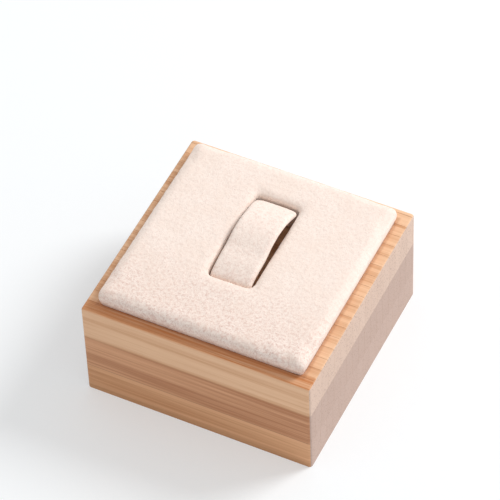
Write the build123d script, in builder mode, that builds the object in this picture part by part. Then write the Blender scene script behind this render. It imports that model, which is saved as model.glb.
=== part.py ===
from build123d import *
import math
import os

# Ring display stand: a bamboo block of three glued plies, with a suede covered pad
# pressed into a pocket in its top, and a springy tongue that lies over a ring well.
# Millimetres, +Z up. X runs along the front face, the front faces -Y, and the origin
# is at the middle of the underside.

# Bamboo block
block_width = 45.0
block_depth = 45.0
bottom_ply_thickness = 6.6
middle_ply_thickness = 7.9
top_ply_thickness = 7.5
block_corner_radius = 0.6
block_edge_radius = 0.4

# Pocket for the pad insert, milled into the top ply
rim_width = 2.4
pocket_depth = 4.0
pocket_corner_radius = 2.2

# Pad insert: greyboard, foam and a suede cover whose hem is glued under the board
pad_fit = 0.25
cover_thickness = 0.6
board_thickness = 1.6
hem_width = 4.5
pad_bulge = 0.2
pad_rise = 3.0
pad_crown = 0.3
bulge_height = 1.0
bulge_start = 0.7
shoulder_width = 1.6
shoulder_steps = 6
crown_reach = 0.6
crown_steps = 4
corner_growth = 0.35
side_bow = 0.12

# Tongue: a spring strip in a suede sleeve, folded over at its front root
tongue_width = 8.2
tongue_thickness = 1.3
strip_width = 6.8
strip_thickness = 0.3
strip_tip_margin = 1.4
tongue_root_y = -7.0
crest_y = 3.8
tip_y = 12.0
root_sink = 0.2
crest_rise = 1.9
tip_sink = 0.4
tip_corner_radius = 1.5
root_gap = 0.3
foot_length = 8.0

# Ring well: the window through the pad under the tongue
well_side_gap = 0.7
well_front_gap = 0.3
well_back_gap = 0.4
well_corner_radius = 0.8
mouth_depth = 0.5
mouth_flare = 38.0

# Levels
bottom_ply_top = bottom_ply_thickness
middle_ply_top = bottom_ply_top + middle_ply_thickness
block_top = middle_ply_top + top_ply_thickness
pocket_floor = block_top - pocket_depth
board_bottom = pocket_floor + cover_thickness
board_top = board_bottom + board_thickness
pad_top = block_top + pad_rise

# Plan sizes
pocket_width = block_width - 2 * rim_width
pocket_length = block_depth - 2 * rim_width
pad_half_x = pocket_width / 2 - pad_fit
pad_half_y = pocket_length / 2 - pad_fit
pad_corner_radius = pocket_corner_radius - pad_fit

# Tongue centre line, as heights of its middle
half_tongue = tongue_thickness / 2
root_z = pad_top - root_sink - half_tongue
crest_z = pad_top + crest_rise - half_tongue
tip_z = pad_top - tip_sink - half_tongue

# Well window, measured on the face of the cover that lines it
well_half_x = tongue_width / 2 + well_side_gap
well_front_y = tongue_root_y - half_tongue - well_front_gap
well_back_y = tip_y + half_tongue + well_back_gap
well_centre_y = (well_front_y + well_back_y) / 2
well_length = well_back_y - well_front_y


def pillow_outline(level, inset, corner, bow):
    """A rounded square with slightly bowed sides, inset from the pad's plan size."""
    half_x, half_y = pad_half_x - inset, pad_half_y - inset
    leg = corner * math.sin(math.radians(45))
    with BuildSketch(Plane.XY.offset(level)) as outline:
        with BuildLine():
            for turn, reach, side in ((0, half_x, half_y), (90, half_y, half_x),
                                      (180, half_x, half_y), (270, half_y, half_x)):
                spin = Rotation(0, 0, turn)
                flat = side - corner
                ends = [(reach, -flat), (reach + bow, 0), (reach, flat)]
                ThreePointArc(*[(spin * Location((x, y, 0))).position for x, y in ends])
                bend = [(reach, flat), (reach - corner + leg, flat + leg), (reach - corner, side)]
                ThreePointArc(*[(spin * Location((x, y, 0))).position for x, y in bend])
        make_face()
    return outline.sketch


def pillow(bottom, shrink):
    """The pad's crowned form: straight in the pocket, a soft bulge, a round shoulder, a crown."""
    bulge_level = block_top + bulge_height
    rows = [(bottom, 0.0), (block_top, 0.0), ((block_top + bulge_level) / 2, -bulge_start * pad_bulge)]
    for step in range(shoulder_steps + 1):
        turn = math.radians(90 * step / shoulder_steps)
        rows.append((bulge_level + (pad_top - bulge_level) * math.sin(turn),
                     shoulder_width * (1 - math.cos(turn)) - pad_bulge))
    flank = shoulder_width - pad_bulge
    crown_run = (min(pad_half_x, pad_half_y) - flank) * crown_reach
    for step in range(1, crown_steps + 1):
        share = step / crown_steps
        rows.append((pad_top + pad_crown * math.sin(math.radians(90 * share)),
                     flank + crown_run * share))
    with BuildPart() as form:
        for level, inset in rows:
            lowered = level if level == bottom else level - shrink
            corner = pad_corner_radius + corner_growth * max(inset, 0.0)
            add(pillow_outline(lowered, inset + shrink, corner, side_bow))
        loft(ruled=True)
    return form.part


def well_prism(bottom, top, grow):
    """The well's window as a prism, grown outwards by a wall thickness."""
    with BuildPart() as prism:
        with BuildSketch(Plane.XY.offset(bottom)):
            with Locations((0, well_centre_y)):
                RectangleRounded(2 * (well_half_x + grow), well_length + 2 * grow,
                                 well_corner_radius + grow)
        extrude(amount=top - bottom)
    return prism.part


def tongue_band(thickness, end_gap):
    """A strip's side profile: rise to the crest, then the curve down to the tip."""
    rise_radius = radius_to_crest(crest_y - tongue_root_y, crest_z - root_z)
    fall_radius = radius_to_crest(tip_y - crest_y, crest_z - tip_z)
    rise_turn = -math.asin((crest_y - tongue_root_y) / rise_radius)
    fall_turn = math.asin((tip_y - end_gap - crest_y) / fall_radius)

    def point(radius, turn, lift):
        across = (radius + lift) * math.sin(turn)
        return (crest_y + across, crest_z - radius + (radius + lift) * math.cos(turn))

    def arc(radius, turn, lift):
        ThreePointArc(*[point(radius, share * turn, lift) for share in (0, 0.5, 1)])

    half = thickness / 2
    with BuildSketch() as band:
        with BuildLine():
            for lift in (-half, half):
                arc(rise_radius, rise_turn, lift)
                arc(fall_radius, fall_turn, lift)
            Line(point(rise_radius, rise_turn, -half), point(rise_radius, rise_turn, half))
            Line(point(fall_radius, fall_turn, -half), point(fall_radius, fall_turn, half))
        make_face()
    return band.sketch


def radius_to_crest(run, rise):
    """Radius of an arc that is level at the crest and drops by rise over run."""
    return (run ** 2 + rise ** 2) / (2 * rise)


# Bamboo plies, bonded face to face
with BuildPart() as bottom_ply:
    with BuildSketch():
        RectangleRounded(block_width, block_depth, block_corner_radius)
    extrude(amount=bottom_ply_thickness)
    fillet(bottom_ply.faces().sort_by(Axis.Z)[0].edges(), block_edge_radius)

with BuildPart() as middle_ply:
    with BuildSketch(Plane.XY.offset(bottom_ply_top)):
        RectangleRounded(block_width, block_depth, block_corner_radius)
    extrude(amount=middle_ply_thickness)

with BuildPart() as top_ply:
    with BuildSketch(Plane.XY.offset(middle_ply_top)):
        RectangleRounded(block_width, block_depth, block_corner_radius)
    extrude(amount=top_ply_thickness)
    fillet(top_ply.faces().sort_by(Axis.Z)[-1].edges(), block_edge_radius)
    with BuildSketch(Plane.XY.offset(block_top)):
        RectangleRounded(pocket_width, pocket_length, pocket_corner_radius)
    extrude(amount=-pocket_depth, mode=Mode.SUBTRACT)

# Greyboard that the foam and the cover are glued to, cut out over the well
with BuildPart() as backing_board:
    with BuildSketch(Plane.XY.offset(board_bottom)):
        RectangleRounded(2 * (pad_half_x - cover_thickness), 2 * (pad_half_y - cover_thickness),
                         pad_corner_radius - cover_thickness)
    extrude(amount=board_thickness)
    add(well_prism(pocket_floor, pad_top, cover_thickness), mode=Mode.SUBTRACT)

# Foam with the pad's crown, cut out over the well
with BuildPart() as pad_foam:
    add(pillow(board_top, cover_thickness))
    add(well_prism(pocket_floor, pad_top + pad_crown, cover_thickness), mode=Mode.SUBTRACT)

# Suede cover: over the foam, down the sides and the well, and hemmed under the board
with BuildPart() as pad_cover:
    add(pillow(pocket_floor, 0))
    add(pillow(board_top, cover_thickness), mode=Mode.SUBTRACT)
    with BuildSketch(Plane.XY.offset(board_bottom)):
        RectangleRounded(2 * (pad_half_x - cover_thickness), 2 * (pad_half_y - cover_thickness),
                         pad_corner_radius - cover_thickness)
    extrude(amount=board_thickness, mode=Mode.SUBTRACT)
    with BuildSketch(Plane.XY.offset(pocket_floor)):
        Rectangle(2 * (pad_half_x - hem_width), 2 * (pad_half_y - hem_width))
    extrude(amount=cover_thickness, mode=Mode.SUBTRACT)
    lining = well_prism(board_bottom, pad_top + pad_crown, cover_thickness)
    crowned_lining = lining.intersect(pillow(pocket_floor, 0))
    add(crowned_lining)
    add(well_prism(pocket_floor, pad_top + 2 * pad_crown, 0), mode=Mode.SUBTRACT)
    with BuildSketch(Plane.XY.offset(pad_top - mouth_depth)):
        with Locations((0, well_centre_y)):
            RectangleRounded(2 * well_half_x, well_length, well_corner_radius)
    extrude(amount=mouth_depth + 2 * pad_crown, taper=-mouth_flare, mode=Mode.SUBTRACT)

# Spring strip, parted at its bend: the foot stays, the leaf swings
leg_top = root_z - half_tongue - root_gap
with BuildPart() as spring_foot:
    with BuildSketch(Plane.YZ):
        with Locations((tongue_root_y, (pocket_floor + leg_top) / 2)):
            Rectangle(strip_thickness, leg_top - pocket_floor)
        foot_back = tongue_root_y + strip_thickness / 2
        with Locations((foot_back - foot_length / 2, pocket_floor + strip_thickness / 2)):
            Rectangle(foot_length, strip_thickness)
    extrude(amount=strip_width / 2, both=True)

with BuildPart() as spring_leaf:
    with BuildSketch(Plane.YZ):
        add(tongue_band(strip_thickness, strip_tip_margin))
        with Locations((tongue_root_y, root_z - half_tongue / 2)):
            Rectangle(strip_thickness, half_tongue)
        with Locations((tongue_root_y, root_z)):
            Circle(strip_thickness / 2)
    extrude(amount=strip_width / 2, both=True)

# Suede sleeve round the strip: the part in the well stays, the tongue's part swings
with BuildPart() as leg_sleeve:
    with BuildSketch(Plane.XY.offset(board_bottom)):
        with Locations((0, tongue_root_y)):
            Rectangle(tongue_width, tongue_thickness)
            Rectangle(strip_width, strip_thickness, mode=Mode.SUBTRACT)
    extrude(amount=leg_top - board_bottom)

with BuildPart() as tongue_sleeve:
    with BuildSketch(Plane.YZ):
        add(tongue_band(tongue_thickness, 0))
        with Locations((tongue_root_y, root_z), (tip_y, tip_z)):
            Circle(half_tongue)
    extrude(amount=tongue_width / 2, both=True)
    plan_front = tongue_root_y - 2 * tongue_thickness
    plan_back = tip_y + half_tongue
    with BuildSketch(Plane.XY.offset(pocket_floor)):
        with Locations((0, (plan_front + plan_back) / 2)):
            RectangleRounded(tongue_width, plan_back - plan_front, tip_corner_radius)
    extrude(amount=2 * (crest_z - pocket_floor), mode=Mode.INTERSECT)
    add(spring_leaf.part, mode=Mode.SUBTRACT)

pieces = {
    "bottom_ply": bottom_ply,
    "middle_ply": middle_ply,
    "top_ply": top_ply,
    "backing_board": backing_board,
    "pad_foam": pad_foam,
    "pad_cover": pad_cover,
    "spring_foot": spring_foot,
    "leg_sleeve": leg_sleeve,
    "spring_leaf": spring_leaf,
    "tongue_sleeve": tongue_sleeve,
}

os.makedirs("parts", exist_ok=True)
for name, piece in pieces.items():
    piece.part.label = name
    export_step(piece.part, f"parts/{name}.step")
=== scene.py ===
import math

import bmesh
import bpy
from mathutils import Matrix, Vector, noise


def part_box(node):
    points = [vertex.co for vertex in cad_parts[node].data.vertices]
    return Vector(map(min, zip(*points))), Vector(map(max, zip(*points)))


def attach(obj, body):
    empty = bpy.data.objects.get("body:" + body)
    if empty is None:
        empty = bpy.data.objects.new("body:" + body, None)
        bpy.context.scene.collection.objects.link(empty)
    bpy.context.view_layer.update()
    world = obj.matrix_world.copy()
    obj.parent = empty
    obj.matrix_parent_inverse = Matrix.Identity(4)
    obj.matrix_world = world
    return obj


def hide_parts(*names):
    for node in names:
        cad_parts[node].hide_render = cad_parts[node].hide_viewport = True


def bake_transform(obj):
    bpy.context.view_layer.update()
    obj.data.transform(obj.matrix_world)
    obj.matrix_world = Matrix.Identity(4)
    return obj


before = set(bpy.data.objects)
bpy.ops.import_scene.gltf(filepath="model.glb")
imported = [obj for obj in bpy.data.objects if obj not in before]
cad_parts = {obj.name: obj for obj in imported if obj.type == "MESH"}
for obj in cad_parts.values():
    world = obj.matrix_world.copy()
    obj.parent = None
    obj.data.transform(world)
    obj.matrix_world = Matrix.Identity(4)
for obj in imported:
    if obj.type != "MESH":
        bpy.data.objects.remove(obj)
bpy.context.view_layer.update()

# Camera
# A long lens looks down on the block from the front right, a little off level,
# from about 0.63 m. Its place is worked out from the block's corners.
mm = 0.001
view_turn, view_tilt, view_roll = (math.radians(angle) for angle in (27.73, 49.27, 2.55))
view_reach = 630.9 * mm
view_centre = Vector((0, 0, 7.2 * mm))
view_slide = Vector((-0.288 * mm, 11.646 * mm, 0))
lens_length = 248.6

away = Vector((math.sin(view_turn) * math.cos(view_tilt),
               -math.cos(view_turn) * math.cos(view_tilt), math.sin(view_tilt)))
level = Vector((math.cos(view_turn), math.sin(view_turn), 0))
upright = away.cross(level)
side_axis = level * math.cos(view_roll) - upright * math.sin(view_roll)
up_axis = level * math.sin(view_roll) + upright * math.cos(view_roll)
turn = Matrix((side_axis, up_axis, away)).transposed()
place = view_centre + turn @ (view_slide + Vector((0, 0, view_reach)))

lens = bpy.data.cameras.new("camera")
lens.lens = lens_length
lens.clip_start = 0.01
camera = bpy.data.objects.new("camera", lens)
camera.matrix_world = Matrix.Translation(place) @ turn.to_4x4()
bpy.context.collection.objects.link(camera)
bpy.context.scene.camera = camera


# Floor and light
# A plain white table under soft light: an even sky, and one large soft lamp behind
# and to the right, which throws the block's shadow to the front left.
sky_strength = 0.64
lamp_reach, lamp_size, lamp_power = 1.0, 0.42, 6.6
lamp_way = Vector((0.74, 0.9, 1.0)).normalized()
table_glow, glow_share = 1.12, 0.30


class Wire:
    """A socket of a finish, on which sums are written as on a number."""

    def __init__(self, finish, socket):
        self.finish = finish
        self.socket = socket

    def maths(self, operation, first, second):
        return self.finish.node("Math", {"operation": operation}, {0: first, 1: second})

    def __add__(self, other):
        return self.maths("ADD", self, other)

    def __radd__(self, other):
        return self.maths("ADD", other, self)

    def __sub__(self, other):
        return self.maths("SUBTRACT", self, other)

    def __rsub__(self, other):
        return self.maths("SUBTRACT", other, self)

    def __mul__(self, other):
        return self.maths("MULTIPLY", self, other)

    def __rmul__(self, other):
        return self.maths("MULTIPLY", other, self)

    def __truediv__(self, other):
        return self.maths("DIVIDE", self, other)

    def floor(self):
        return self.maths("FLOOR", self, 0.0)

    def size(self):
        return self.maths("ABSOLUTE", self, 0.0)


class Finish:
    """A material, with one method that adds any node from its type, settings and inputs."""

    def __init__(self, name):
        self.material = bpy.data.materials.new(name)
        self.material.use_nodes = True
        self.tree = self.material.node_tree
        self.shader = self.tree.nodes["Principled BSDF"]

    def set(self, socket, value):
        if isinstance(value, Wire):
            self.tree.links.new(value.socket, socket)
        elif isinstance(value, tuple) and len(value) == 3 and socket.type == "RGBA":
            socket.default_value = (*value, 1.0)
        else:
            socket.default_value = value

    def node(self, kind, settings=None, inputs=None, output=0):
        made = self.tree.nodes.new("ShaderNode" + kind)
        for key, value in (settings or {}).items():
            if key == "stops":
                for place_on_ramp, tone in value[len(made.color_ramp.elements):]:
                    made.color_ramp.elements.new(place_on_ramp)
                for stop, (place_on_ramp, tone) in zip(made.color_ramp.elements, value):
                    stop.position, stop.color = place_on_ramp, (*tone, 1.0)
            else:
                setattr(made, key, value)
        for key, value in (inputs or {}).items():
            self.set(made.inputs[key], value)
        return Wire(self, made.outputs[output])

    def place_mm(self):
        """The point's X, Y and Z in the object's own space, in millimetres."""
        point = self.node("TexCoord", output=3)
        split = self.node("SeparateXYZ", inputs={0: point}).socket.node
        return [Wire(self, split.outputs[axis]) * 1000.0 for axis in range(3)]

    def vector(self, x, y, z):
        return self.node("CombineXYZ", inputs={0: x, 1: y, 2: z})

    def cloud(self, point, scale=1.0, detail=2.0, rough=0.5):
        return self.node("TexNoise", inputs={"Vector": point, "Scale": scale, "Detail": detail,
                                             "Roughness": rough})

    def ramp(self, value, low, high):
        """0 below low, 1 above high, smooth between."""
        return self.node("MapRange", {"interpolation_type": "SMOOTHSTEP"},
                         {"Value": value, "From Min": low, "From Max": high})

    def mix(self, share, first, second):
        return self.node("Mix", {"data_type": "RGBA"}, {0: share, 6: first, 7: second}, output=2)

    def bump(self, height, strength, depth_mm):
        return self.node("Bump", inputs={"Strength": strength, "Distance": depth_mm * mm,
                                         "Height": height})

    def dress(self, piece):
        piece.data.materials.clear()
        piece.data.materials.append(self.material)


world = bpy.context.scene.world or bpy.data.worlds.new("sky")
bpy.context.scene.world = world
world.use_nodes = True
sky_tree = world.node_tree
sky_tree.nodes.clear()
sky_ways = sky_tree.nodes.new("ShaderNodeLightPath")
sky_seen = sky_ways.outputs["Is Camera Ray"]
for way in ("Is Glossy Ray", "Is Transmission Ray"):
    sky_sum = sky_tree.nodes.new("ShaderNodeMath")
    sky_sum.operation = "MAXIMUM"
    sky_tree.links.new(sky_seen, sky_sum.inputs[0])
    sky_tree.links.new(sky_ways.outputs[way], sky_sum.inputs[1])
    sky_seen = sky_sum.outputs[0]
sky_light = sky_tree.nodes.new("ShaderNodeBackground")
sky_light.inputs["Strength"].default_value = sky_strength
sky_white = sky_tree.nodes.new("ShaderNodeBackground")
sky_mix = sky_tree.nodes.new("ShaderNodeMixShader")
sky_out = sky_tree.nodes.new("ShaderNodeOutputWorld")
sky_white.inputs["Color"].default_value = (1.0, 1.0, 1.0, 1.0)
sky_light.inputs["Color"].default_value = (1.0, 1.0, 1.0, 1.0)
sky_tree.links.new(sky_seen, sky_mix.inputs[0])
sky_tree.links.new(sky_light.outputs[0], sky_mix.inputs[1])
sky_tree.links.new(sky_white.outputs[0], sky_mix.inputs[2])
sky_tree.links.new(sky_mix.outputs[0], sky_out.inputs[0])

lamp_data = bpy.data.lights.new("window", "AREA")
lamp_data.shape = "DISK"
lamp_data.size = lamp_size
lamp_data.energy = lamp_power
lamp = bpy.data.objects.new("window", lamp_data)
lamp.location = lamp_way * lamp_reach
lamp.rotation_euler = lamp_way.to_track_quat("Z", "Y").to_euler()
bpy.context.collection.objects.link(lamp)

bpy.ops.object.select_all(action="DESELECT")
bpy.ops.mesh.primitive_plane_add(size=6.0)
floor = bpy.context.object
floor.name = "floor"
white = Finish("table_white")
white.shader.inputs["Base Color"].default_value = (0.885, 0.915, 0.935, 1.0)
white.shader.inputs["Roughness"].default_value = 0.9
white.shader.inputs["Specular IOR Level"].default_value = 0.1
rays = white.node("LightPath").socket.node
seen = sum((Wire(white, rays.outputs[way]) for way in ("Is Glossy Ray", "Is Transmission Ray")),
           Wire(white, rays.outputs["Is Camera Ray"]))
glow = white.node("Emission", inputs={"Color": (1.0, 1.0, 1.0, 1.0), "Strength": table_glow})
surface = white.node("MixShader", inputs={0: seen * glow_share, 2: glow,
                                          1: Wire(white, white.shader.outputs[0])})
white.set(white.tree.nodes["Material Output"].inputs[0], surface)
white.dress(floor)

# Bamboo block
# Three plies of bamboo strips set on edge, glued under pressure and sanded flush. The
# strips run along the front face, and their ends show on the two sides.
strip_pitch = 2.6 * mm
strip_seam = 0.008 * mm
seam_ease = 0.03 * mm
corner_round = 0.6 * mm
rim_round = 0.4 * mm
pocket_lip = 0.12 * mm
rim_shown = 2.6 * mm
pocket_round = 0.9 * mm


def start_box(name, low, high):
    """A primitive cube set to a box between two corners, with its place in its mesh."""
    bpy.ops.object.select_all(action="DESELECT")
    bpy.ops.mesh.primitive_cube_add(size=1.0)
    piece = bpy.context.object
    piece.name = name
    piece.location = (Vector(low) + Vector(high)) / 2
    piece.scale = Vector(high) - Vector(low)
    bpy.ops.object.transform_apply(location=True, rotation=True, scale=True)
    return piece


def ease_edges(piece, wanted, width, segments):
    """Bevels the edges whose middle and direction pass the test."""
    bpy.ops.object.select_all(action="DESELECT")
    piece.select_set(True)
    bpy.context.view_layer.objects.active = piece
    bpy.ops.object.mode_set(mode="EDIT")
    bpy.ops.mesh.select_mode(type="EDGE")
    bpy.ops.mesh.select_all(action="DESELECT")
    shape = bmesh.from_edit_mesh(piece.data)
    for edge in shape.edges:
        first, second = (corner.co for corner in edge.verts)
        edge.select = wanted((first + second) / 2, (second - first).normalized())
    shape.select_flush_mode()
    bmesh.update_edit_mesh(piece.data)
    bpy.ops.mesh.bevel(offset=width, segments=segments, profile=0.5, affect="EDGES")
    bpy.ops.object.mode_set(mode="OBJECT")


def apply_modifier(piece, kind, **settings):
    """Adds a modifier with its settings and applies it."""
    bpy.ops.object.select_all(action="DESELECT")
    piece.select_set(True)
    bpy.context.view_layer.objects.active = piece
    modifier = piece.modifiers.new(kind.lower(), kind)
    for key, value in settings.items():
        setattr(modifier, key, value)
    bpy.ops.object.modifier_apply(modifier=modifier.name)


def join(pieces, name):
    """Joins pieces into one mesh under a new name."""
    bpy.ops.object.select_all(action="DESELECT")
    for piece in pieces:
        piece.select_set(True)
    bpy.context.view_layer.objects.active = pieces[0]
    bpy.ops.object.join()
    pieces[0].name = name
    return pieces[0]


def make_strip(node, back, front, outer, eased_face, copies=1):
    """One bamboo strip, or a row of like ones, eased; outer is the side that shows: -1, 0 or 1."""
    low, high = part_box(node)
    strip = start_box("strip", (low.x, back + strip_seam, low.z), (high.x, front - strip_seam, high.z))
    middle_y = (back + front) / 2

    def is_outer(middle):
        return outer and (middle.y - middle_y) * outer > strip_seam

    if outer:
        ease_edges(strip, lambda middle, way: abs(way.z) > 0.9 and is_outer(middle), corner_round, 5)
    if eased_face is not None:
        ease_edges(strip, lambda middle, way: abs(middle.z - eased_face) < 0.01 * mm
                   and (abs(way.y) > 0.9 or is_outer(middle)), rim_round, 4)
    ease_edges(strip, lambda middle, way: abs(way.x) > 0.9 and not is_outer(middle), seam_ease, 1)
    if copies > 1:
        apply_modifier(strip, "ARRAY", count=copies, use_relative_offset=False,
                       use_constant_offset=True, constant_offset_displace=(0, front - back, 0))
    return strip


def make_ply(node, first_share, eased_face=None, cutter=None):
    """A ply of strips; its first strip is a share of a full one, and a cutter takes the pocket out."""
    low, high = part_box(node)
    first_cut = low.y + first_share * strip_pitch
    copies = int((high.y - first_cut) / strip_pitch - 0.2)
    last_cut = first_cut + copies * strip_pitch
    strips = [make_strip(node, low.y, first_cut, -1, eased_face),
              make_strip(node, first_cut, first_cut + strip_pitch, 0, eased_face, copies),
              make_strip(node, last_cut, high.y, 1, eased_face)]
    ply = join(strips, node + "_bamboo")
    if cutter:
        apply_modifier(ply, "BOOLEAN", operation="DIFFERENCE", object=cutter, solver="EXACT")
    bpy.ops.object.shade_smooth_by_angle(angle=math.radians(35))
    return ply


def make_pocket_cutter():
    """The pad's pocket, with rounded corners and a small chamfer at its mouth."""
    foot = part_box("pad_cover")[0].z
    low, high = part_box("top_ply")
    half_x, half_y = -low.x - rim_shown, -low.y - rim_shown
    cutter = start_box("pocket", (-half_x, -half_y, foot), (half_x, half_y, high.z - pocket_lip))
    ease_edges(cutter, lambda middle, way: abs(way.z) > 0.9, pocket_round, 5)
    bpy.ops.object.mode_set(mode="EDIT")
    bpy.ops.mesh.select_mode(type="FACE")
    bpy.ops.mesh.select_all(action="DESELECT")
    shape = bmesh.from_edit_mesh(cutter.data)
    for face in shape.faces:
        face.select = face.normal.z > 0.9
    bmesh.update_edit_mesh(cutter.data)
    bpy.ops.mesh.extrude_region_move(TRANSFORM_OT_translate={"value": (0, 0, pocket_lip)})
    grow = (half_x + pocket_lip) / half_x
    bpy.ops.transform.resize(value=(grow, grow, 1), center_override=(0, 0, 0))
    bpy.ops.mesh.extrude_region_move(TRANSFORM_OT_translate={"value": (0, 0, 1 * mm)})
    bpy.ops.object.mode_set(mode="OBJECT")
    return cutter


def bamboo(name, node, first_share, seed, tones, end_tones, glue, banding):
    """Side-pressed bamboo: fibres along X, a tone for each strip, and bundle ends as specks."""
    wood = Finish(name)
    x, y, z = wood.place_mm()
    first_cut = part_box(node)[0].y / mm + first_share * strip_pitch / mm
    along = (y - first_cut) / (strip_pitch / mm)
    count = along.floor()
    across = along - count
    tone = wood.node("TexWhiteNoise", {"noise_dimensions": "1D"}, {"W": count + seed})
    shift = tone * 37.0 + seed
    fibre = wood.cloud(wood.vector(x * 0.05 + shift, y * 3.0, z * 3.0), 1.6, 4.0, 0.65)
    line = wood.cloud(wood.vector(x * 0.02 + shift, y * 1.3, z * 1.5), 1.0, 3.0, 0.6)
    broad = wood.cloud(wood.vector(x * 0.015 + seed, y * 0.5, z * 0.36), 1.0, 2.0, 0.5)
    bundle = wood.node("TexVoronoi", {"feature": "F1"},
                       {"Vector": wood.vector(x * 0.08 + shift, y * 2.1, z * 2.1),
                        "Scale": 1.0, "Randomness": 0.9})
    dots = 1.0 - wood.ramp(bundle, 0.16, 0.38)
    seam = wood.ramp((across - 0.5).size(), 0.462, 0.494)
    facing = wood.node("SeparateXYZ", inputs={0: wood.node("TexCoord", output=1)})
    end = wood.ramp(facing.size(), 0.6, 0.8)
    shade = (tone * 0.20 + wood.ramp(line, 0.34, 0.68) * banding + wood.ramp(broad, 0.36, 0.64) * 0.36
             + wood.ramp(fibre, 0.35, 0.72) * 0.20 + across * 0.08)
    side = wood.mix(wood.ramp(shade, 0.10, 1.15), *tones)
    side = wood.mix(seam * 0.35, side, glue)
    under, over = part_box(node)[0].z / mm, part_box(node)[1].z / mm
    dark_band = 1.0 - wood.ramp((z - under).size(), 0.10, 0.34)
    # The bottom ply has no joint at its foot; instead it is darker towards its bottom, in the joint
    # colour.
    if node == "bottom_ply":
        dark_band = (1.0 - wood.ramp(z, 0.5, 2.2)) * 0.8
    side = wood.mix(dark_band * 0.55, side, glue)
    if node == "top_ply":
        # Painted shade: the margin in front of the pad is painted darker and more orange for the pad's
        # shadow, broken up by the grain lines, and the rim is painted darker for the contact shadow
        # under the lip.
        pad_painted_shade = wood.ramp(z, over - 0.6, over - 0.2) * (1.0 - wood.ramp(0.0 - y, 22.1, 22.5))
        lined = 0.34 + wood.ramp(line, 0.40, 0.58) * 0.28 + wood.ramp(fibre, 0.42, 0.60) * 0.34
        side = wood.mix(pad_painted_shade * wood.ramp(0.0 - y, 19.0, 20.0) * lined, side, (0.54, 0.19, 0.055))
        reach = x.maths("MAXIMUM", x.size(), y.size())
        # Painted contact shadow in a narrow band round the pocket's rim, under the pad's lip.
        lip_painted_shadow = wood.ramp(z, over - 0.6, over - 0.2) * (1.0 - wood.ramp(reach, 20.25, 20.85))
        side = wood.mix(lip_painted_shadow * 0.36, side, (0.30, 0.105, 0.045))
    fleck = dots * 0.70 + tone * 0.12 + wood.ramp(fibre, 0.35, 0.72) * 0.30
    ends = wood.mix(fleck, *end_tones)
    wood.set(wood.shader.inputs["Base Color"], wood.mix(end, side, ends))
    wood.set(wood.shader.inputs["Roughness"], 0.52 + fibre * 0.22)
    wood.shader.inputs["Specular IOR Level"].default_value = 0.35
    wood.set(wood.shader.inputs["Normal"], wood.bump(fibre * 0.5 - seam * 0.5 * (1.0 - end), 0.5, 0.05))
    return wood


bamboo_glue, caramel_glue = (0.40, 0.19, 0.08), (0.34, 0.15, 0.07)
ply_plan = (
    ("bottom_ply", 0.55, None, 11.0, ((0.77, 0.43, 0.235), (0.55, 0.255, 0.115)),
     ((0.56, 0.41, 0.345), (0.44, 0.30, 0.245)), bamboo_glue, 0.40),
    ("middle_ply", 0.80, None, 23.0, ((0.72, 0.385, 0.215), (0.46, 0.20, 0.095)),
     ((0.54, 0.39, 0.325), (0.42, 0.28, 0.225)), caramel_glue, 0.55),
    ("top_ply", 0.95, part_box("top_ply")[1].z, 5.0, ((0.85, 0.54, 0.335), (0.58, 0.285, 0.135)),
     ((0.70, 0.52, 0.42), (0.46, 0.31, 0.245)), bamboo_glue, 0.30),
)
pocket_cutter = make_pocket_cutter()
for node, first_share, eased_face, seed, tones, end_tones, glue, banding in ply_plan:
    ply = make_ply(node, first_share, eased_face, pocket_cutter if node == "top_ply" else None)
    bamboo(node + "_grain", node, first_share, seed, tones, end_tones, glue, banding).dress(ply)
    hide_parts(node)
    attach(ply, "root")
bpy.data.objects.remove(pocket_cutter)

# Suede pad
# Cream microfibre suede drawn over crowned foam and a greyboard, its hem glued under
# the board, with a well cut through the middle where the suede turns down.
pad_low, pad_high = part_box("pad_cover")
block_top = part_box("top_ply")[1].z
tongue_low, tongue_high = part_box("tongue_sleeve")
sleeve_low_x, sleeve_high_x = tongue_low.x - 0.45 * mm, tongue_high.x + 0.15 * mm
well_low = Vector((sleeve_low_x - 0.12 * mm, -7.80 * mm, 0))
well_high = Vector((sleeve_high_x + 0.10 * mm, 13.05 * mm, 0))
sim_scale = 25.0
pad_voxel = 0.55 * mm
pad_overhang, pad_give, pad_rise = 0.28 * mm, 0.15 * mm, 0.25 * mm
pad_corner, pad_shoulder, well_corner, well_rim = 1.0 * mm, 0.60 * mm, 0.8 * mm, 0.30 * mm
pad_pressure = 8.0
foot_band, foot_drawn, foot_fade = 0.9, 0.60, 0.85


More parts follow.
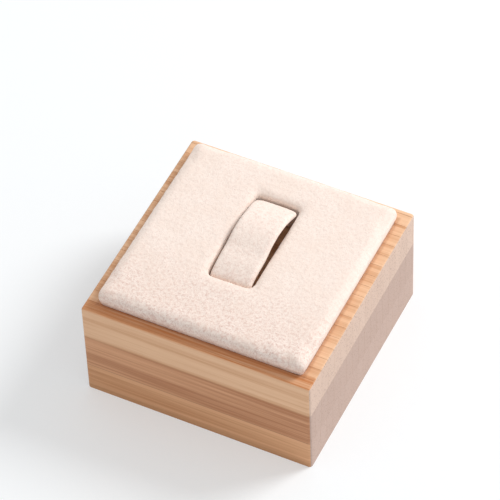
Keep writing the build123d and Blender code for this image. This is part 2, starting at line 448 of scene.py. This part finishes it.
def puff(piece, voxel, held, pressure, sideways, upward, steps=14):
    """Remeshes a closed form, lets cloth pressure fill it where it isn't held, and caps the swell."""
    for corner in piece.data.vertices:
        corner.co *= sim_scale
    apply_modifier(piece, "REMESH", mode="VOXEL", voxel_size=voxel * sim_scale)
    start = [corner.co.copy() for corner in piece.data.vertices]
    pins = piece.vertex_groups.new(name="held")
    for corner in piece.data.vertices:
        pins.add([corner.index], held(corner.co / sim_scale), "REPLACE")
    bpy.ops.object.select_all(action="DESELECT")
    piece.select_set(True)
    bpy.context.view_layer.objects.active = piece
    cloth = piece.modifiers.new("suede", "CLOTH")
    cloth.settings.quality = 4
    cloth.settings.mass = 0.3
    cloth.settings.tension_stiffness = 12
    cloth.settings.compression_stiffness = 12
    cloth.settings.shear_stiffness = 6
    cloth.settings.bending_stiffness = 4
    cloth.settings.use_pressure = True
    cloth.settings.uniform_pressure_force = pressure
    cloth.settings.vertex_group_mass = "held"
    cloth.settings.effector_weights.gravity = 0
    cloth.collision_settings.use_collision = False
    cloth.point_cache.frame_end = steps + 1
    for step in range(1, steps + 1):
        bpy.context.scene.frame_set(step)
    bpy.ops.object.modifier_apply(modifier="suede")
    bpy.context.scene.frame_set(1)
    for corner, before in zip(piece.data.vertices, start):
        move = (corner.co - before) / sim_scale
        flat = Vector((move.x, move.y, 0))
        if flat.length > sideways:
            flat = flat.normalized() * sideways
        flat.z = max(-upward, min(upward, move.z))
        corner.co = before + flat * sim_scale
    piece.vertex_groups.clear()
    for corner in piece.data.vertices:
        corner.co /= sim_scale


def suede(name, flecks, warmth, front_painted_shade=0.0):
    """Fine-napped microfibre: mottled flecks, patches and a dull sheen, with the flecks thickened
    towards the front as painted shade.
    """
    cloth = Finish(name)
    x, y, z = cloth.place_mm()
    point = cloth.vector(x, y, z)
    fleck = cloth.cloud(point, 1.7, 3.0, 0.62)
    nap = cloth.cloud(cloth.vector(x * 1.3, y * 0.9, z), 3.6, 2.0, 0.6)
    patch = cloth.cloud(point, 0.22, 2.0, 0.5)
    mottled = cloth.ramp(fleck, 0.44, 0.66) * 0.55 + cloth.ramp(nap, 0.40, 0.66) * 0.45
    # Painted shade: the flecks thicken towards the front, where the surface turns away from the light.
    flecks = flecks + cloth.ramp(0.0 - y, 2.0, 17.0) * front_painted_shade
    base = cloth.mix(mottled * flecks, (0.975, 0.847, 0.765), (0.70, 0.47, 0.40))
    base = cloth.mix(cloth.ramp(patch, 0.35, 0.65) * warmth, base, (0.90, 0.73, 0.63))
    cloth.set(cloth.shader.inputs["Base Color"], base)
    cloth.shader.inputs["Roughness"].default_value = 0.95
    cloth.shader.inputs["Specular IOR Level"].default_value = 0.12
    cloth.shader.inputs["Sheen Weight"].default_value = 0.35
    cloth.shader.inputs["Sheen Roughness"].default_value = 0.5
    cloth.shader.inputs["Sheen Tint"].default_value = (1.0, 0.93, 0.86, 1.0)
    cloth.set(cloth.shader.inputs["Normal"], cloth.bump(fleck * 0.6 + nap * 0.4, 0.8, 0.22))
    return cloth


def hollow(distance, width):
    """A smooth hump that is 1 at 0 and falls away over a width."""
    return math.exp(-(distance / width) ** 2)


def seat_pad(piece):
    """Draws the pad's foot in to the pocket, below the lip that hangs over the rim."""
    piece.data.update()
    edge = pad_high.x / mm - foot_band
    rim = block_top / mm
    ways = [corner.normal.copy() for corner in piece.data.vertices]
    for corner, way in zip(piece.data.vertices, ways):
        at = corner.co / mm
        if max(abs(at.x), abs(at.y)) > edge and way.z < 0.5:
            drawn = foot_drawn * (1 - min(1.0, max(0.0, (at.z - rim - 0.1) / foot_fade))) ** 1.3
            corner.co -= Vector((way.x, way.y, 0)) * drawn * mm


def soften_pad(piece):
    """Soft unevenness of a hand-wrapped pad, a little fuller where the tongue folds back."""
    piece.data.update()
    ways = [corner.normal.copy() for corner in piece.data.vertices]
    for corner, way in zip(piece.data.vertices, ways):
        at = corner.co / mm
        risen = min(1.0, max(0.0, (at.z - block_top / mm - 0.1) / 0.3))
        lift = 0.05 * noise.noise(at * 0.35) + 0.05 * noise.noise(at * 1.3 + Vector((7, 3, 1)))
        corner.co += way * lift * risen * mm
        corner.co.z += 0.14 * hollow(at.y + 10.6, 2.2) * hollow(at.x, 5.0) * max(0.0, way.z) * risen * mm


pad = start_box("suede_pad", (pad_low.x - pad_overhang, pad_low.y - pad_overhang, pad_low.z),
                (pad_high.x + pad_overhang, pad_high.y + pad_overhang, pad_high.z - pad_rise))
ease_edges(pad, lambda middle, way: abs(way.z) > 0.9, pad_corner, 5)
pad_crest = pad_high.z - pad_rise
ease_edges(pad, lambda middle, way: middle.z > pad_crest - 0.01 * mm, pad_shoulder, 3)
well_cutter = start_box("well", (well_low.x, well_low.y, pad_low.z - 1 * mm),
                        (well_high.x, well_high.y, pad_high.z + 1 * mm))
ease_edges(well_cutter, lambda middle, way: abs(way.z) > 0.9, well_corner, 4)
apply_modifier(pad, "BOOLEAN", operation="DIFFERENCE", object=well_cutter, solver="EXACT")
bpy.data.objects.remove(well_cutter)


def near_well(point, margin):
    return (well_low.x - margin < point.x < well_high.x + margin
            and well_low.y - margin < point.y < well_high.y + margin)


def on_well_rim(middle, way):
    on_top = middle.z > pad_crest - 0.01 * mm
    return on_top and abs(way.z) < 0.1 and near_well(middle, 0.1 * mm)


ease_edges(pad, on_well_rim, well_rim, 3)


def pad_held(point):
    """The share of a point that is held: the well's walls wholly, and the sides up to the rim."""
    if near_well(point, 0.35 * mm):
        return 1.0
    return min(1.0, max(0.0, (block_top + 0.3 * mm - point.z) / (0.3 * mm)))


puff(pad, pad_voxel, pad_held, pad_pressure, pad_give, pad_rise)
seat_pad(pad)
apply_modifier(pad, "CORRECTIVE_SMOOTH", iterations=2, factor=0.5, use_only_smooth=True)
apply_modifier(pad, "SUBSURF", levels=1, render_levels=1)
soften_pad(pad)
bpy.ops.object.shade_smooth()
suede("pad_suede", 0.34, 0.28, 0.54).dress(pad)
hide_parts("pad_cover", "pad_foam")
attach(pad, "root")

# Tongue
# One spring strip in a suede sleeve comes up the well's front, folds back at the root
# and arches over the well. On the real stand it bends at the root when a finger lifts it; this mesh
# keeps its resting arch.
tongue_root = Vector((-7.0 * mm, 24.15 * mm))
tongue_crest = Vector((3.8 * mm, 26.25 * mm))
tongue_tip = Vector((12.0 * mm, 23.95 * mm))
tongue_half = 0.65 * mm
start_half, tongue_swell = 0.47 * mm, 0.18 * mm
leg_foot = 18.8 * mm
root_bend = 0.70 * mm
bend_top = 24.33 * mm
tongue_sag, sag_place, sag_width = 0.45 * mm, 1.0, 2.6
tip_corner, sleeve_edge, sleeve_give = 1.4 * mm, 0.42 * mm, 0.1 * mm
tongue_voxel, tongue_pressure = 0.3 * mm, 2.5


def tongue_line():
    """Points (y, z) of the sleeve's middle, from the leg's foot to the tip."""
    points = []
    run, rise = tongue_crest.x - tongue_root.x, tongue_crest.y - tongue_root.y
    rise_radius = (run ** 2 + rise ** 2) / (2 * rise)
    slope = math.asin(run / rise_radius)
    bend_turn = math.pi / 2 - slope
    bend_start = bend_top - root_bend * math.sin(bend_turn)
    for step in range(12):
        points.append(Vector((tongue_root.x, leg_foot + (bend_start - leg_foot) * step / 12)))
    for step in range(13):
        angle = bend_turn * step / 12
        points.append(Vector((tongue_root.x + root_bend * (1 - math.cos(angle)),
                              bend_start + root_bend * math.sin(angle))))
    first = points[-1]
    for step in range(1, 41):
        share = step / 40
        y = first.x + (tongue_crest.x - first.x) * share
        lost = tongue_crest.x - y
        ideal = tongue_crest.y - rise_radius + math.sqrt(rise_radius ** 2 - lost ** 2)
        start_gap = tongue_crest.x - first.x
        off = first.y - (tongue_crest.y - rise_radius + math.sqrt(rise_radius ** 2 - start_gap ** 2))
        sag = tongue_sag * hollow(y / mm + sag_place, sag_width)
        points.append(Vector((y, ideal + off * (1 - share) ** 2 - sag)))
    run, drop = tongue_tip.x - tongue_crest.x, tongue_crest.y - tongue_tip.y
    fall_radius = (run ** 2 + drop ** 2) / (2 * drop)
    fall_turn = math.asin(run / fall_radius)
    for step in range(1, 41):
        angle = fall_turn * step / 40
        points.append(Vector((tongue_crest.x + fall_radius * math.sin(angle),
                              tongue_crest.y - fall_radius * (1 - math.cos(angle)))))
    return points


line = tongue_line()
reaches = [0.0]
for before, after in zip(line, line[1:]):
    reaches.append(reaches[-1] + (after - before).length)


def along_line(reach):
    """The point and the way of the sleeve's middle line at a reach from the foot."""
    reach = min(max(reach, -2 * mm), reaches[-1] + 2 * mm)
    index = 0
    while index < len(reaches) - 2 and reaches[index + 1] < reach:
        index += 1
    way = (line[index + 1] - line[index]).normalized()
    return line[index] + way * (reach - reaches[index]), way


flat_length = reaches[-1] + tongue_half
tongue = start_box("suede_tongue", (sleeve_low_x + sleeve_give, 0, -start_half),
                   (sleeve_high_x - sleeve_give, flat_length, start_half))
ease_edges(tongue, lambda middle, way: abs(way.z) > 0.9 and middle.y > flat_length / 2, tip_corner, 6)
ease_edges(tongue, lambda middle, way: abs(way.z) < 0.5, sleeve_edge, 3)
puff(tongue, tongue_voxel, lambda point: 0.0 if point.y > 3 * mm else 1.0, tongue_pressure,
     tongue_swell, tongue_swell)
apply_modifier(tongue, "CORRECTIVE_SMOOTH", iterations=3, factor=0.5, use_only_smooth=True)
apply_modifier(tongue, "SUBSURF", levels=1, render_levels=1)
for corner in tongue.data.vertices:
    x, reach, height = corner.co
    ripple = 0.04 * mm * noise.noise(Vector((x, reach, height)) * 900)
    middle, way = along_line(reach)
    normal = Vector((-way.y, way.x))
    if height < 0 and way.x > 0.8:
        height *= 1 + 1.2 * hollow(middle.x / mm + 2.4, 3.0)
    point = middle + normal * (height + ripple * (1 if height > 0 else -1))
    corner.co = (x, point.x, point.y)
tongue.data.update()
bpy.ops.object.shade_smooth()
suede("tongue_suede", 0.46, 0.12, 0.50).dress(tongue)
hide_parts("leg_sleeve", "tongue_sleeve")
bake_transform(tongue)

# Greyboard
# Pressed paper fibre, matt and flecked, cut out over the well.
board = Finish("greyboard")
x, y, z = board.place_mm()
fibres = board.cloud(board.vector(x * 2.0, y * 0.7, z * 4.0), 2.2, 4.0, 0.7)
board.set(board.shader.inputs["Base Color"],
          board.mix(board.ramp(fibres, 0.35, 0.65), (0.30, 0.28, 0.25), (0.42, 0.40, 0.36)))
board.shader.inputs["Roughness"].default_value = 0.95
board.set(board.shader.inputs["Normal"], board.bump(fibres, 0.4, 0.05))
board.dress(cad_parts["backing_board"])

# Spring strip
# Bright blanked spring steel with fine rolling lines along its length.
steel = Finish("spring_steel")
x, y, z = steel.place_mm()
lines = steel.cloud(steel.vector(x * 24.0, y * 0.5, z * 0.5), 1.0, 3.0, 0.6)
steel.shader.inputs["Metallic"].default_value = 1.0
steel.set(steel.shader.inputs["Base Color"], steel.mix(lines, (0.50, 0.51, 0.53), (0.68, 0.69, 0.70)))
steel.set(steel.shader.inputs["Roughness"], 0.26 + lines * 0.22)
steel.set(steel.shader.inputs["Normal"], steel.bump(lines, 0.2, 0.01))
for node in ("spring_foot", "spring_leaf"):
    steel.dress(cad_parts[node])

bpy.context.scene.view_settings.view_transform = "Standard"
